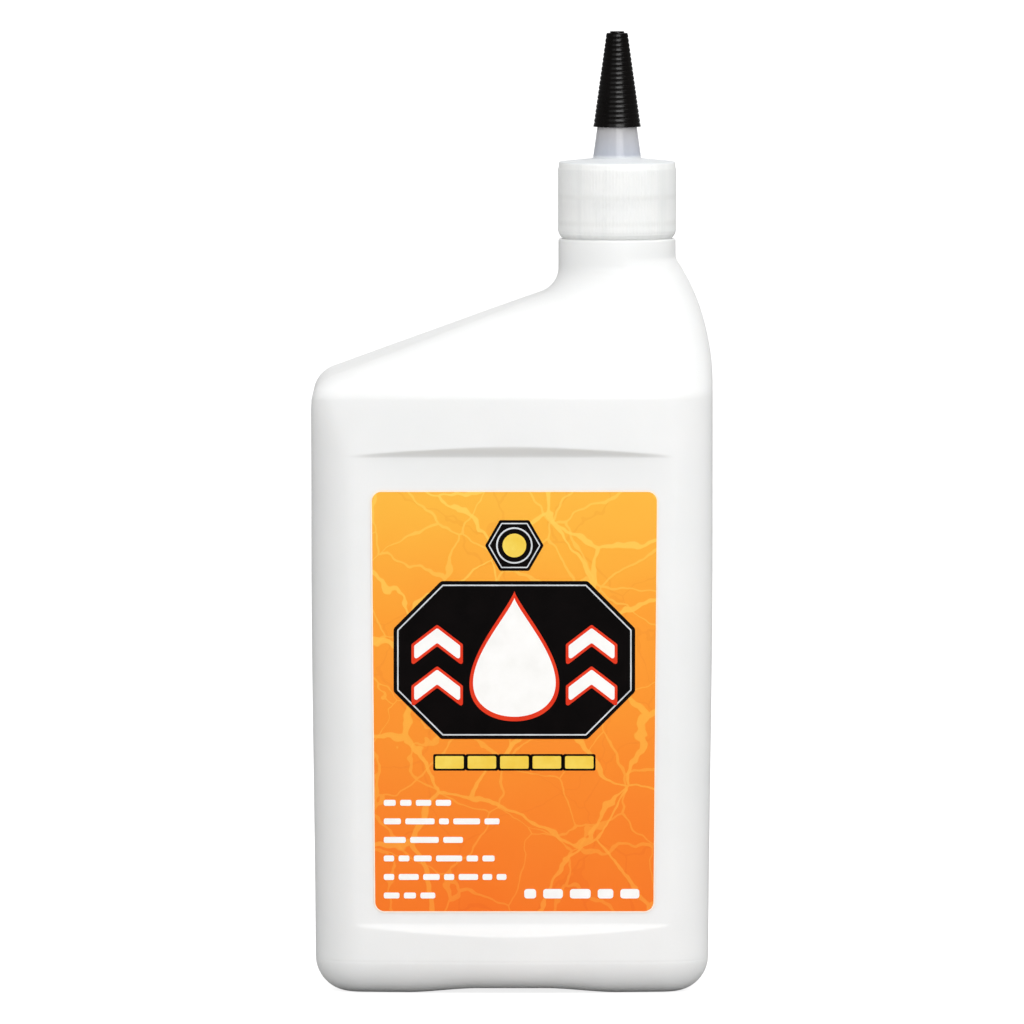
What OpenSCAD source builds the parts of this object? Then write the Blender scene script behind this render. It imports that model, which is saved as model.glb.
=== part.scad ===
// One-quart blow-moulded bottle of hydraulic oil with an offset neck, a screw-on spout cap
// and a pull-off tip. All sizes are in millimetres.
// +Z is up, +X is towards the offset neck and -Y is the side of the front label.
// The origin is the middle of the base, at the level that the bottle stands on.

/* [Body] */
// Width of the body between its side walls
body_w = 101.6; // [98:0.2:108]
// How much narrower the body is at its foot than at half height
foot_taper = 2.1; // [0:0.1:4]
// Height over which the foot taper runs out
taper_h = 112; // [60:2:130]
// Depth of the body at the middle of its bowed faces
body_d = 69; // [60:0.5:74]
// How far the front and back faces bow out between the corners
face_bow = 2.6; // [2:0.1:4]
// Radius of the upright corners, seen from above
corner_r = 14; // [11:0.5:18]
// Thickness of the blown wall
wall = 1; // [0.8:0.1:1.5]

/* [Foot] */
// Radius where the walls turn under the base
foot_r = 9; // [7:0.2:11]
// Width of the flat rim that the bottle stands on
foot_land = 4; // [3:0.5:6]
// Run of the slope between the rim and the raised middle of the base
pushup_run = 3; // [2:0.5:5]
// Height of the raised middle of the base
pushup_h = 2.5; // [1.5:0.1:4]
// Height of the shallow arch across the middle of the rim
arch_h = 1.1; // [0.2:0.1:1.5]
// Half width of that arch
arch_half = 27; // [14:1:28]

/* [Shoulder] */
// Height at which the line of the sloping shoulder meets the side wall
shoulder_z = 154.6; // [145:0.1:165]
// Angle of the sloping shoulder above the horizontal
shoulder_angle = 20.4; // [15:0.1:25]
// Radius between the side wall and the sloping shoulder
shoulder_r = 10; // [6:0.2:12]
// Radius along the two edges of the sloping shoulder
ridge_r = 3.4; // [2:0.2:5]
// Drop from the shoulder line to the crease where the front and back lean in
crease_drop = 2.6; // [1:0.1:4]
// Radius of that crease
crease_r = 5; // [4:0.5:12]

/* [Neck] */
// Distance of the neck's axis from the right side wall
neck_inset = 24.1; // [22:0.1:28]
// Radius of the plain neck below the cap
neck_r = 14.9; // [14.5:0.1:15.5]
// Radius between the sloping shoulder and the neck
neck_fillet_left = 7; // [4:0.5:9]
// Radius between the right shoulder and the neck
neck_fillet_right = 3; // [2:0.5:5]
// Radius between the leaning faces and the neck
neck_fillet_front = 5; // [4:0.5:15]
// How much higher the right shoulder meets the neck than the left one does
right_shoulder_rise = 2.4; // [1:0.1:3.5]
// Height of the plain neck above the sloping shoulder's fillet
neck_land = 7.3; // [5.8:0.1:10]

/* [Neck finish] */
// Height of the threaded finish, from its ledge to the lip
finish_h = 17.2; // [16.5:0.1:19]
// Radius of the finish at the root of its thread
finish_r = 12.5; // [12.2:0.05:12.8]
// Radius of the mouth's bore
mouth_r = 10.8; // [9.5:0.1:11]
// How far the thread stands out from its wall
thread_depth = 1.2; // [0.9:0.05:1.3]
// Rise of the thread in one turn
pitch = 4.2333; // [4:0.0333:4.5]
// Number of turns of the thread
thread_turns = 1.5; // [1.25:0.25:1.5]
// Height of the thread at its foot
thread_w_foot = 2.4; // [2:0.1:2.5]
// Height of the thread at its crest
thread_w_crest = 1.2; // [1:0.1:1.4]
// Distance from the lip down to the middle of the thread's upper end
thread_drop = 2.7; // [2.4:0.1:3.5]

/* [Spout cap] */
// Radius over the ribs of the cap's skirt
cap_r = 15; // [14.9:0.1:16]
// Height of the ribs on the skirt
rib_h = 0.2; // [0.1:0.05:0.4]
// Number of ribs round the skirt
rib_count = 108; // [60:4:120]
// Height of the plain rims above and below the ribs
rim_h = 1.5; // [1:0.1:2.5]
// Bevel round the foot of the skirt
skirt_bevel = 1.0; // [0.4:0.1:1.2]
// Gap between the foot of the skirt and the neck's ledge
skirt_gap = 0.3; // [0.2:0.1:1.5]
// Height of the low collar on the neck's ledge, inside the skirt's foot
collar_h = 0.6; // [0.3:0.1:1.2]
// Gap between the collar and the skirt
collar_gap = 0.15; // [0.1:0.05:0.4]
// Thickness of the cap's top
cap_top = 1.3; // [1:0.1:2]
// Radius of the spout where it leaves the cap
spout_r = 6.25; // [5.5:0.05:7]
// Rise of the cap's top from its rim to the foot of the spout
top_rise = 0.9; // [0.3:0.1:1.5]
// Height of the spout above the cap
spout_h = 31.2; // [27:0.2:35]
// Radius of the spout's end
spout_end_r = 1.9; // [1.8:0.05:2.3]
// Radius of the hole in the spout's end
orifice_r = 1.1; // [0.9:0.05:1.2]
// Thickness of the spout's wall at its foot
spout_wall = 1.2; // [0.9:0.1:1.5]
// Running clearance between the cap and the neck finish
thread_gap = 0.3; // [0.2:0.05:0.4]

/* [Liner] */
// Thickness of the sealing ring inside the cap
liner_t = 1; // [0.6:0.1:1.5]
// Radius of the hole in the sealing ring
liner_hole_r = 5.6; // [4.5:0.1:7]

/* [Tip] */
// Height on the spout at which the tip's skirt begins
tip_start = 8.9; // [7:0.1:12]
// Thickness of the tip's wall between its rings
tip_wall = 0.75; // [0.7:0.05:1.1]
// Number of grip rings on the tip
tip_rings = 20; // [10:1:22]
// How far each grip ring flares at its lower edge
ring_flare = 0.15; // [0.05:0.01:0.3]
// Thickness of the tip's closed end
tip_end = 1.4; // [0.8:0.1:1.6]
// Radius of the small raised disc on the tip's end
nub_r = 1.8; // [1:0.1:2]
// Height of that disc
nub_h = 0.4; // [0.2:0.1:0.8]
// Gap between the tip and the spout
tip_gap = 0.15; // [0.1:0.05:0.3]
// Length of the pin that plugs the spout's hole
plug_h = 2; // [1:0.1:3]

/* [Labels] */
// Depth of the flat label panel below the middle of the bowed face
panel_depth = 1.7; // [1:0.05:2]
// Height of the panel's lower edge
panel_low = 18.3; // [16:0.1:24]
// Height of the ledge below the panel
ledge_low_h = 3.8; // [3:0.2:5]
// Height of the panel's upper edge
panel_high = 135.8; // [130:0.1:138]
// Height of the ledge above the panel
ledge_high_h = 3.4; // [2:0.1:4]
// Width of the label along its top edge
label_w_top = 72.7; // [60:0.1:74]
// Width of the label along its bottom edge
label_w_foot = 71; // [60:0.1:74]
// Height of the label
label_h = 106.9; // [90:0.1:107]
// Distance of the label's bottom edge above the panel's lower edge
label_rise = 2.6; // [1:0.1:6]
// Distance of the label's middle from the middle of the body
label_x = 0.6; // [0:0.1:1]
// Radius of the label's corners
label_r = 2.7; // [1.5:0.1:5]
// Thickness of the label
label_t = 0.15; // [0.1:0.05:0.3]

/* [Oil] */
// Volume of oil in the bottle, in millilitres
oil_ml = 946; // [700:1:950]
// Gap between the oil and the wall
oil_gap = 0.3; // [0.2:0.05:0.5]

/* [Hidden] */
$fn = 96;

// Points round each level of the blown body, and how much closer they lie at its corners
ring_points = 64;
corner_crowding = 0.5;
// Steps in one turn of a thread, and the share of its length over which each end runs out
thread_steps = 36;
thread_run_out = 0.09;
// Share of its height that a thread keeps at its two ends
thread_end_share = 0.12;
// How deep the foot of a thread or rib is sunk into the wall that carries it
sunk = 0.4;
// Step in radius where the blown neck meets the moulded finish, outside and inside
seam = 0.05;
inner_seam = 0.08;
// Height above the right fillet at which the finish starts, and how far it overlaps the blown neck
finish_start = 0.3;
finish_overlap = 1.6;
// How much higher the neck's fillet ends at the front than on the left
front_fillet_rise = 1;
// Smallest radii left at the upright corners and at the shoulder's ridge on an inner surface
least_corner_r = 4;
least_ridge_r = 1.5;
// How far below the round corner of the shoulder its tight edges begin, and the height they take to form
ridge_lead = 12;
ridge_run = 17;
// Share of the corner's radius that the flat label panel keeps clear of
corner_clear = 0.86;
// Share of the arch's half width over which it is level
arch_level = 0.3;
// Half widths of a rib at its root and at its crest, as shares of the step between two ribs
rib_root_share = 0.32;
rib_crest_share = 0.2;

half_w = body_w / 2;
half_d = body_d / 2;
neck_x = half_w - neck_inset;
blown_neck_r = neck_r - seam;
neck_left = neck_x - blown_neck_r;
neck_right = neck_x + blown_neck_r;

// The left outline: side wall, round corner, sloping shoulder, fillet and neck
left_arc_x = -half_w + shoulder_r;
left_arc_z = shoulder_z - shoulder_r * tan((90 - shoulder_angle) / 2);
left_fillet_x = neck_left - neck_fillet_left;
left_run = left_fillet_x - left_arc_x + (neck_fillet_left + shoulder_r) * sin(shoulder_angle);
left_fillet_z = left_arc_z + left_run * tan(shoulder_angle)
    + (neck_fillet_left + shoulder_r) * cos(shoulder_angle);

// The right outline: side wall, long round shoulder, small fillet and neck
right_meet_z = left_fillet_z + right_shoulder_rise;
right_drop = half_w - neck_right;
right_rise = right_meet_z - shoulder_z;
right_arc_r = (right_rise ^ 2 + right_drop ^ 2) / (2 * right_drop);
right_arc_x = half_w - right_arc_r;
right_fillet_x = neck_right + neck_fillet_right;
right_fillet_z = shoulder_z
    + sqrt((right_arc_r + neck_fillet_right) ^ 2 - (right_fillet_x - right_arc_x) ^ 2);
right_tangent_z = shoulder_z
    + (right_fillet_z - shoulder_z) * right_arc_r / (right_arc_r + neck_fillet_right);

// The side view's outline: upright face, crease, leaning face, fillet and neck
crease_z = shoulder_z - crease_drop;
front_fillet_y = blown_neck_r + neck_fillet_front;
front_fillet_z = left_fillet_z + front_fillet_rise;
lean_reach = norm([front_fillet_y - half_d, front_fillet_z - crease_z]);
lean = atan2(half_d - front_fillet_y, front_fillet_z - crease_z)
    + asin(neck_fillet_front / lean_reach);
crease_arc_y = half_d - crease_r;
crease_arc_z = crease_z - crease_r * tan(lean / 2);

// Heights up the neck, the cap and the tip
ledge_z = left_fillet_z + neck_land;
finish_foot_z = right_fillet_z + finish_start;
blown_top_z = finish_foot_z + finish_overlap;
lip_z = ledge_z + finish_h;
thread_top_z = lip_z - thread_drop;
thread_foot_z = thread_top_z - thread_turns * pitch;
cap_foot_z = ledge_z + skirt_gap;
cap_inner_z = lip_z + liner_t;
cap_top_z = cap_inner_z + cap_top;
spout_end_z = cap_top_z + spout_h;
tip_foot_z = cap_top_z + tip_start;
tip_inner_z = spout_end_z + tip_gap;
tip_top_z = tip_inner_z + tip_end;

// Radii inside the cap
skirt_in_r = finish_r + thread_depth + thread_gap;
cap_thread_r = finish_r + thread_gap;
rib_root_r = cap_r - rib_h;
collar_r = skirt_in_r - collar_gap;

panel_y = half_d - panel_depth;
label_foot_z = panel_low + label_rise;
// The label keeps this far inside the flat part of its panel
label_margin = 0.5;
foot_half_w = half_w - foot_taper / 2;
panel_half_w = min(foot_half_w * sqrt(panel_depth / face_bow), foot_half_w - corner_clear * corner_r);
label_half_max = panel_half_w - label_margin - label_x;
label_top_half = min(label_w_top / 2, label_half_max);
label_foot_half = min(label_w_foot / 2, label_half_max);
label_height = min(label_h, panel_high - label_foot_z - label_margin);

function mix(a, b, share) = a + (b - a) * share;

// 0 below a, 1 above b and a smooth rise between them
function ramp(v, a, b) = let (t = min(max((v - a) / (b - a), 0), 1)) t * t * (3 - 2 * t);

// Height of a circle above its centre line, d away from its middle
function bulge(r, d) = sqrt(max(r ^ 2 - d ^ 2, 0));

function wall_x(z) = half_w - foot_taper / 2 * (1 - ramp(z, 0, taper_h));

// How far the walls are drawn in at height z by the foot's radius, for a surface o inside the outer one
function foot_inset(z, o) = z < foot_r ? foot_r - bulge(foot_r - o, foot_r - z) : o;

// x of the left outline at height z, for a surface o inside the outer one
function left_x(z, o) =
    let (corner_end = left_arc_z + (shoulder_r - o) * cos(shoulder_angle),
         fillet_start = left_fillet_z - (neck_fillet_left + o) * cos(shoulder_angle))
    z <= left_arc_z ? foot_inset(z, o) - wall_x(z)
    : z <= corner_end ? left_arc_x - bulge(shoulder_r - o, z - left_arc_z)
    : z <= fillet_start
        ? left_arc_x - (shoulder_r - o) * sin(shoulder_angle) + (z - corner_end) / tan(shoulder_angle)
    : z <= left_fillet_z ? left_fillet_x + bulge(neck_fillet_left + o, left_fillet_z - z)
    : neck_left + o;

// x of the right outline at height z
function right_x(z, o) =
    let (tangent_z = shoulder_z
            + (right_fillet_z - shoulder_z) * (right_arc_r - o) / (right_arc_r + neck_fillet_right))
    z <= shoulder_z ? wall_x(z) - foot_inset(z, o)
    : z <= tangent_z ? right_arc_x + bulge(right_arc_r - o, z - shoulder_z)
    : z <= right_fillet_z ? right_fillet_x - bulge(neck_fillet_right + o, right_fillet_z - z)
    : neck_right - o;

// Half the depth of the body at height z, at the middle of its bowed faces
function front_y(z, o) =
    let (crease_end = crease_arc_z + (crease_r - o) * sin(lean),
         fillet_start = front_fillet_z - (neck_fillet_front + o) * sin(lean))
    z <= crease_arc_z ? half_d - foot_inset(z, o)
    : z <= crease_end ? crease_arc_y + bulge(crease_r - o, z - crease_arc_z)
    : z <= fillet_start
        ? crease_arc_y + (crease_r - o) * cos(lean) - (z - crease_end) * tan(lean)
    : z <= front_fillet_z ? front_fillet_y - bulge(neck_fillet_front + o, front_fillet_z - z)
    : blown_neck_r - o;

// 0 in the body and 1 in the round neck
function neck_share(z) = z < crease_arc_z ? 0
    : min(max((half_d - front_y(z, 0)) / (half_d - blown_neck_r), 0), 1);

// Sine of the left outline's angle to the level: 1 on the upright wall, less on the shoulder
function left_steepness(z) = z <= left_arc_z ? 1
    : max(bulge(shoulder_r, z - left_arc_z) / shoulder_r, sin(shoulder_angle));

// 1 on the sloping shoulder, whose edges are tighter than the upright corners, and 0 elsewhere
function ridge_share(z) = ramp(z, left_arc_z - ridge_lead, left_arc_z - ridge_lead + ridge_run)
    * (1 - ramp(z, left_fillet_z - neck_fillet_left * cos(shoulder_angle) - ridge_r, left_fillet_z));

// 1 on the flat label panels, which cut the bow off, and 0 above and below their ledges
function panel_share(z) = ramp(z, panel_low - ledge_low_h, panel_low)
    * (1 - ramp(z, panel_high, panel_high + ledge_high_h));

// The point where a ray along [u, v] leaves a rectangle of half sizes [a, d] with elliptical corners
function on_outline(u, v, a, d, rx, ry) =
    let (p = a - rx, q = d - ry, side = a / u, face = d / v)
    v * side <= q ? [a, v * side]
    : u * face <= p ? [u * face, d]
    : let (k2 = (u / rx) ^ 2 + (v / ry) ^ 2,
           k1 = u * p / rx ^ 2 + v * q / ry ^ 2,
           k0 = (p / rx) ^ 2 + (q / ry) ^ 2 - 1,
           s = (k1 + sqrt(max(k1 ^ 2 - k2 * k0, 0))) / k2)
      [s * u, s * v];

// Angles round a level, closer together towards the four corners
function level_angle(i) = let (turn = i / ring_points * 4, quarter = floor(turn), u = turn - quarter)
    90 * (quarter + u + corner_crowding * sin(360 * u) / 360);

// One level of the blown body at height z, o inside the outer surface.
// inset draws it in further, and lift raises it in an arch across the middle.
function level(z, o, inset = 0, lift = 0) =
    let (xl = left_x(z, o) + inset,
         xr = right_x(z, o) - inset,
         cx = (xl + xr) / 2,
         a = (xr - xl) / 2,
         share = neck_share(z),
         bow = face_bow * (1 - share),
         d = front_y(z, o) - inset - bow,
         drawn_in = foot_inset(z, o) + inset,
         r_open = max(mix(corner_r, blown_neck_r, share) - drawn_in, least_corner_r),
         r_right = min(r_open, d),
         k = ridge_share(z),
         ry = min(mix(r_right, max(ridge_r - o, least_ridge_r), k), d),
         rx = mix(r_right, ry / left_steepness(z), k),
         cut = panel_y - o + panel_depth * (1 - panel_share(z)))
    [for (i = [0:ring_points - 1])
        let (t = level_angle(i),
             c = cos(t),
             s = sin(t),
             right = c >= 0,
             hit = on_outline(abs(c) * a, abs(s) * d, a, d, right ? r_right : rx, right ? r_right : ry),
             y = min(hit.y * (1 + bow * (1 - (hit.x / a) ^ 2) / d), cut),
             x = cx + sign(c) * hit.x)
        [x, sign(s) * y, z + lift * (1 - ramp(abs(x), arch_level * arch_half, arch_half))]];

// n heights from a to b, without b
function heights(a, b, n) = [for (k = [0:n - 1]) a + (b - a) * k / n];

// Heights of the levels up the foot's radius
function foot_heights(o, n) = [for (k = [0:n - 1]) foot_r - (foot_r - o) * cos(90 * k / n)];

// Heights of the levels up the blown body. detail scales how many there are.
function body_heights(o, detail) = let (
        corner_end = left_arc_z + (shoulder_r - o) * cos(shoulder_angle),
        fillet_start = left_fillet_z - (neck_fillet_left + o) * cos(shoulder_angle))
    concat(
        foot_heights(o, ceil(5 * detail)),
        [foot_r],
        heights(panel_low - ledge_low_h, panel_low, ceil(3 * detail)),
        heights(panel_low, panel_high, ceil(5 * detail)),
        heights(panel_high, panel_high + ledge_high_h, ceil(3 * detail)),
        [panel_high + ledge_high_h],
        heights(left_arc_z, corner_end, ceil(7 * detail)),
        heights(corner_end, fillet_start, ceil(9 * detail)),
        heights(fillet_start, right_fillet_z, ceil(6 * detail)),
        [blown_top_z]);

function foot_lift(z) = z < foot_r ? arch_h * (1 - z / foot_r) ^ 2 : 0;

// The levels of one surface of the blown body, from the middle of the base up to height top
function surface_levels(o, detail, top) = concat(
    [level(o, o, foot_land + pushup_run)
        + [for (i = [1:ring_points]) [0, 0, pushup_h]],
     level(o, o, foot_land, foot_lift(o))],
    [for (z = body_heights(o, detail)) if (z < top) level(z, o, 0, foot_lift(z))],
    [level(top, o)]);

// Triangles between level j and level k of a list of levels with n points each
function band(j, k, n) = [for (i = [0:n - 1]) let (m = (i + 1) % n)
    each [[j * n + i, k * n + i, k * n + m], [j * n + i, k * n + m, j * n + m]]];

function reversed(list) = [for (i = [len(list) - 1:-1:0]) list[i]];

function sum(v, i = 0, total = 0) = i == len(v) ? total : sum(v, i + 1, total + v[i]);

function middle(p) = sum(p, 0, [0, 0, 0]) / len(p);

// A closed skin over a list of levels, with a fan of triangles over the first and the last
module skin(levels) {
    n = len(levels[0]);
    last = len(levels) - 1;
    foot = (last + 1) * n;
    polyhedron(
        points = concat([for (l = levels) each l], [middle(levels[0]), middle(levels[last])]),
        faces = concat(
            [for (j = [0:last - 1]) each band(j, j + 1, n)],
            [for (i = [0:n - 1]) [foot, i, (i + 1) % n]],
            [for (i = [0:n - 1]) [foot + 1, last * n + (i + 1) % n, last * n + i]]));
}

// Area inside a closed level, and the volume between the levels of a list
function level_area(p) = abs(let (n = len(p))
    sum([for (i = [0:n - 1]) p[i].x * p[(i + 1) % n].y - p[(i + 1) % n].x * p[i].y])) / 2;

// Height that the oil reaches: up from z in steps until its volume is in
oil_step = 2;
function fill_height(z, left) =
    let (slice = oil_step * level_area(level(z + oil_step / 2, wall + oil_gap)))
    slice >= left || z > left_fillet_z - oil_step ? z + oil_step * min(left / slice, 1)
    : fill_height(z + oil_step, left - slice);
oil_foot_z = wall + oil_gap;
// The raised middle of the base takes this much room from the oil
pushup_room = pushup_h * level_area(level(oil_foot_z, oil_foot_z, foot_land + pushup_run / 2));
oil_z = fill_height(oil_foot_z, oil_ml * 1000 + pushup_room);

// A helical ridge whose foot is sunk into its wall and whose ends run out into it
module thread(r_foot, r_crest, w_foot, w_crest, z0, turns) {
    steps = ceil(turns * thread_steps);
    points = [for (k = [0:steps])
        let (share = k / steps,
             a = 360 * turns * share,
             z = z0 + pitch * turns * share,
             full = min(1, min(share, 1 - share) / thread_run_out),
             r = mix(mix(r_foot, r_crest, thread_end_share), r_crest, full))
        each [
            [r_foot * cos(a), r_foot * sin(a), z - w_foot / 2],
            [r * cos(a), r * sin(a), z - w_crest / 2],
            [r * cos(a), r * sin(a), z + w_crest / 2],
            [r_foot * cos(a), r_foot * sin(a), z + w_foot / 2]]];
    outward = r_crest > r_foot;
    faces = concat(
        [for (k = [0:steps - 1]) each band(k, k + 1, 4)],
        [[0, 1, 2, 3]],
        [[for (i = [3:-1:0]) steps * 4 + i]]);
    polyhedron(points = points, faces = outward ? [for (f = faces) reversed(f)] : faces);
}

// The moulded mouth of the bottle: plain neck, ledge, threaded finish, lip and bore
module neck_finish() {
    inner_foot_r = blown_neck_r - wall - inner_seam;
    edge = 0.5;
    rotate_extrude() polygon([
        [inner_foot_r, finish_foot_z],
        [neck_r, finish_foot_z],
        [neck_r, ledge_z - edge],
        [neck_r - edge, ledge_z],
        [collar_r, ledge_z],
        [collar_r, ledge_z + collar_h],
        [finish_r + edge, ledge_z + collar_h],
        [finish_r, ledge_z + collar_h + edge],
        [finish_r, lip_z - edge],
        [finish_r - edge, lip_z],
        [mouth_r, lip_z],
        [mouth_r, ledge_z - edge],
        [inner_foot_r, finish_foot_z + 0.4]]);
    thread(finish_r - sunk, finish_r + thread_depth, thread_w_foot, thread_w_crest,
        thread_foot_z, thread_turns);
}

module bottle() {
    color("white") union() {
        skin(concat(surface_levels(0, 1, blown_top_z),
            reversed(surface_levels(wall, 0.5, blown_top_z))));
        translate([neck_x, 0, 0]) neck_finish();
    }
}

module oil() {
    color("goldenrod") skin(surface_levels(oil_foot_z, 0.5, oil_z));
}

// The outline of a label, with its bottom edge's middle at the origin
function corner(cx, cz, from) =
    [for (a = [from:10:from + 90]) [cx + label_r * cos(a), cz + label_r * sin(a)]];
function label_outline() =
    let (foot = label_foot_half - label_r,
         head = label_top_half - label_r)
    concat(
        corner(-foot, label_r, 180),
        corner(foot, label_r, 270),
        corner(head, label_height - label_r, 0),
        corner(-head, label_height - label_r, 90));

module label(side) {
    translate([label_x * side, 0, label_foot_z])
        rotate([90, 0, side > 0 ? 0 : 180])
        translate([0, 0, panel_y])
        linear_extrude(label_t) polygon(label_outline());
}

module front_label() {
    color("darkorange") label(1);
}

module back_label() {
    color("orange") label(-1);
}

module cap_liner() {
    color("gainsboro") translate([neck_x, 0, lip_z]) difference() {
        cylinder(r = skirt_in_r - thread_gap, h = liner_t);
        translate([0, 0, -1]) cylinder(r = liner_hole_r, h = liner_t + 2);
    }
}

// Outer radius of the spout's cone at height z
function spout_outer(z) = mix(spout_r, spout_end_r, (z - cap_top_z) / spout_h);

// The cap's skirt, top and spout in one turned outline
module cap_turned() {
    edge = 0.4;
    foot_land_w = 0.3;
    bore_foot_r = spout_r - spout_wall;
    bore_end_z = spout_end_z - plug_h - 1;
    rotate_extrude() polygon([
        [skirt_in_r, cap_foot_z],
        [rib_root_r - skirt_bevel + foot_land_w, cap_foot_z],
        [rib_root_r, cap_foot_z + skirt_bevel],
        [rib_root_r, cap_top_z - edge],
        [rib_root_r - edge, cap_top_z],
        [spout_outer(cap_top_z + top_rise), cap_top_z + top_rise],
        [spout_end_r, spout_end_z],
        [orifice_r, spout_end_z],
        [orifice_r, bore_end_z],
        [bore_foot_r, cap_inner_z + edge],
        [bore_foot_r, cap_inner_z],
        [skirt_in_r, cap_inner_z]]);
}

// The ribs of the skirt, between two plain rims
module cap_ribs() {
    step = 360 / rib_count;
    band_z = cap_foot_z + rim_h;
    band_h = cap_top_z - rim_h - band_z;
    root_proud = 0.02;
    rib_section = [[-rib_root_share, 0], [-rib_crest_share, rib_h],
        [rib_crest_share, rib_h], [rib_root_share, 0]];
    translate([0, 0, band_z]) linear_extrude(band_h) difference() {
        polygon([for (i = [0:rib_count - 1]) each [
            for (p = rib_section)
                let (a = (i + p[0]) * step, r = rib_root_r + root_proud + p[1])
                [r * cos(a), r * sin(a)]]]);
        circle(r = rib_root_r - sunk);
    }
}

module spout_cap() {
    cap_thread_z = thread_foot_z - pitch / 2 + thread_gap;
    color("honeydew") translate([neck_x, 0, 0]) union() {
        cap_turned();
        cap_ribs();
        thread(skirt_in_r + sunk, cap_thread_r, thread_w_foot, thread_w_crest - 0.2,
            cap_thread_z, thread_turns);
    }
}

// Outer radius of the tip at height z, before its rings
function tip_outer(z) = spout_outer(z) + tip_gap + tip_wall;

module tip_cap() {
    ring_pitch = (tip_top_z - tip_foot_z) / tip_rings;
    color([0.09, 0.09, 0.09]) translate([neck_x, 0, 0]) rotate_extrude() polygon(concat(
        [for (k = [0:tip_rings - 1]) each [
            [tip_outer(tip_foot_z + k * ring_pitch) + ring_flare, tip_foot_z + k * ring_pitch],
            [tip_outer(tip_foot_z + (k + 1) * ring_pitch), tip_foot_z + (k + 1) * ring_pitch]]],
        [[nub_r, tip_top_z],
         [nub_r, tip_top_z + nub_h],
         [0, tip_top_z + nub_h],
         [0, tip_inner_z - plug_h],
         [orifice_r - tip_gap - 0.1, tip_inner_z - plug_h],
         [orifice_r - tip_gap, tip_inner_z],
         [spout_end_r + tip_gap, tip_inner_z],
         [spout_outer(tip_foot_z) + tip_gap, tip_foot_z]]));
}

bottle();
oil();
front_label();
back_label();
cap_liner();
spout_cap();
tip_cap();
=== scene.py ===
"""Looks of a one-quart oil bottle: white blown bottle, printed labels, milky spout cap and black tip."""

import math
import random

import bmesh
import bpy
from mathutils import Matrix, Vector


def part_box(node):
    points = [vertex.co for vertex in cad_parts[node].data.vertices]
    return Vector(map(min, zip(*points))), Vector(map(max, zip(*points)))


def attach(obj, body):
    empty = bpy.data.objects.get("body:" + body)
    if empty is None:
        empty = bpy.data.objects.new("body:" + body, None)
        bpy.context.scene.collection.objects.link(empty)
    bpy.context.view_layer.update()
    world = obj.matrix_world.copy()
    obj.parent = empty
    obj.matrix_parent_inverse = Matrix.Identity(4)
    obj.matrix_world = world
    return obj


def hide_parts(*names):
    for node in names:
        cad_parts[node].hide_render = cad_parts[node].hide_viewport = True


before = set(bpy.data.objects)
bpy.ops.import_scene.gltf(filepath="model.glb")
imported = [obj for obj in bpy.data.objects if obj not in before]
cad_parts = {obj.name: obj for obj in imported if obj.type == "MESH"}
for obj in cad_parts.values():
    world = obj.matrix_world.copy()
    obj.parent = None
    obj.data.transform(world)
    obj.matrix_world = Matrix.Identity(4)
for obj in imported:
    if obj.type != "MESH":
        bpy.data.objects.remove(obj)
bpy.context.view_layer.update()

MM = 0.001
random.seed(7)


# Sizes, in millimetres. Those that the solids give are read from their boxes

def low(node, axis):
    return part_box(node)[0][axis] / MM


def high(node, axis):
    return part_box(node)[1][axis] / MM


HALF_W = high("bottle", 0)
HALF_D = high("bottle", 1)
LIP_Z = high("bottle", 2)
CAP_FOOT_Z = low("spout_cap", 2)
SPOUT_END_Z = high("spout_cap", 2)
CAP_R = (high("spout_cap", 0) - low("spout_cap", 0)) / 2
NECK_X = (high("spout_cap", 0) + low("spout_cap", 0)) / 2
TIP_FOOT_Z = low("tip_cap", 2)
TIP_END_Z = high("tip_cap", 2)
LABEL_LOW = Vector(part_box("front_label")[0]) / MM
LABEL_HIGH = Vector(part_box("front_label")[1]) / MM

# Blown body
FOOT_TAPER = 2.1
TAPER_H = 112
FACE_BOW = 2.6
CORNER_R = 12
MIN_CORNER_R = 4
WALL = 1
FOOT_R = 9
FOOT_LAND = 4
PUSHUP_RUN = 3
PUSHUP_H = 2.5
ARCH_H = 1.1
ARCH_HALF = 27
ARCH_LEVEL = 0.3
PARTING_Z = 8.4
PARTING_DEPTH = 0.03
PARTING_HALF = 0.3

# Label panels
PANEL_DEPTH = 1.7
PANEL_LOW = 18.3
LEDGE_LOW_H = 3.8
PANEL_HIGH = 135.8
LEDGE_HIGH_H = 3.4
PANEL_EDGE_SOFT = 0.3
PANEL_EDGE_LEAST = 0.02

# Shoulders and neck
SHOULDER_Z = 154.6
SHOULDER_ANGLE = math.radians(20.4)
SHOULDER_R = 8
RIDGE_R = 5.5
MIN_RIDGE_R = 1.5
RIDGE_LEAD = 26
RIDGE_RUN = 31
CREASE_DROP = 2.6
CREASE_R = 5
NECK_R = 14.9
NECK_FILLET_LEFT = 7
NECK_FILLET_RIGHT = 3
NECK_FILLET_FRONT = 5
FRONT_FILLET_RISE = 1
RIGHT_SHOULDER_RISE = 2.4
FINISH_H = 17.2
FINISH_R = 12.5
MOUTH_R = 10.8
BORE_SLOPE_DROP = 0.5
NECK_JOIN = 0.6
THREAD_DEPTH = 1.2
THREAD_GAP = 0.3
PITCH = 4.2333
THREAD_TURNS = 1.5
THREAD_W_FOOT = 2.4
THREAD_W_CREST = 1.2
THREAD_CREST_R = 0.35
THREAD_DROP = 2.7
THREAD_SUNK = 0.4
THREAD_RUN_OUT = 0.09
THREAD_END_DEPTH = 0.12

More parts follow.
